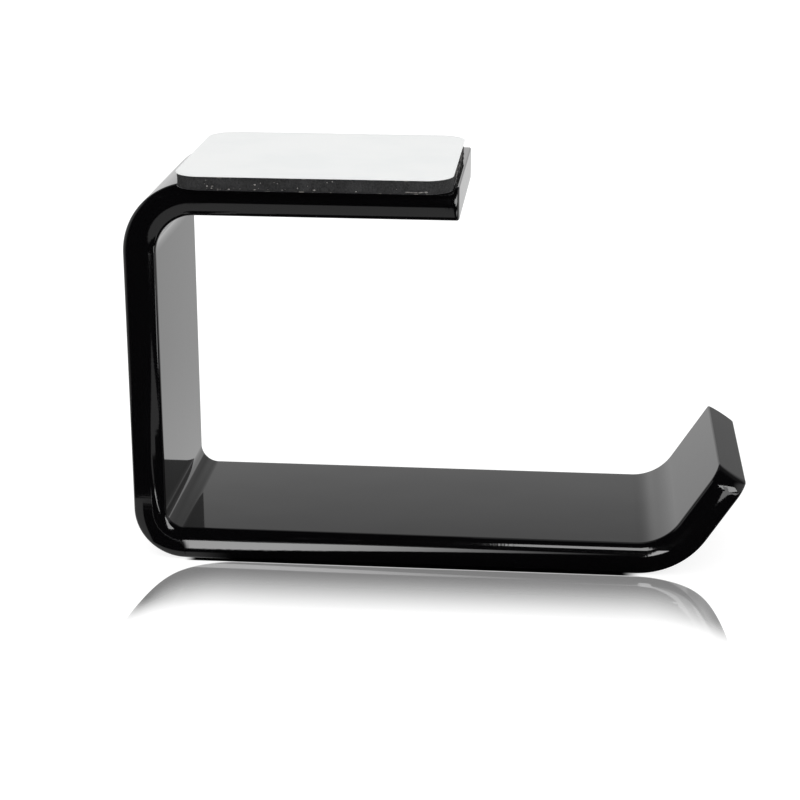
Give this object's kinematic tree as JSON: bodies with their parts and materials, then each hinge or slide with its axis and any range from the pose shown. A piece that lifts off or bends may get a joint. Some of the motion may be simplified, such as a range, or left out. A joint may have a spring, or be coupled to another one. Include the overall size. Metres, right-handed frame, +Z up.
{
  "type": "stick-on headphone hanger",
  "caption": "Bent acrylic strip with an upturned lip that hangs headphones, stuck under a desk by a foam tape pad with a peel-off liner.",
  "frame": {"origin": "on the underside of the long arm, halfway along the hanger's length and at the middle of the strip's width", "axes": "+X from the riser towards the upturned lip, +Y across the strip, +Z up from the long arm to the adhesive pad"},
  "size_m": [0.118, 0.046, 0.0777],
  "materials": {
    "black_acrylic": "polished",
    "foam": "matte",
    "adhesive": "satin",
    "liner_paper": "satin"
  },
  "bodies": {
    "bracket": {"bracket": "black_acrylic", "lower_adhesive_film": "adhesive", "foam_core": "foam", "upper_adhesive_film": "adhesive"},
    "liner": {"release_liner": "liner_paper"}
  },
  "joints": [
    {"name": "liner_peel", "type": "hinge", "parent": "bracket", "child": "liner", "pos_m": [-0.0479, -0.0045, 0.07747], "axis": [0, -1, 0], "range_deg": [0, 150]}
  ]
}
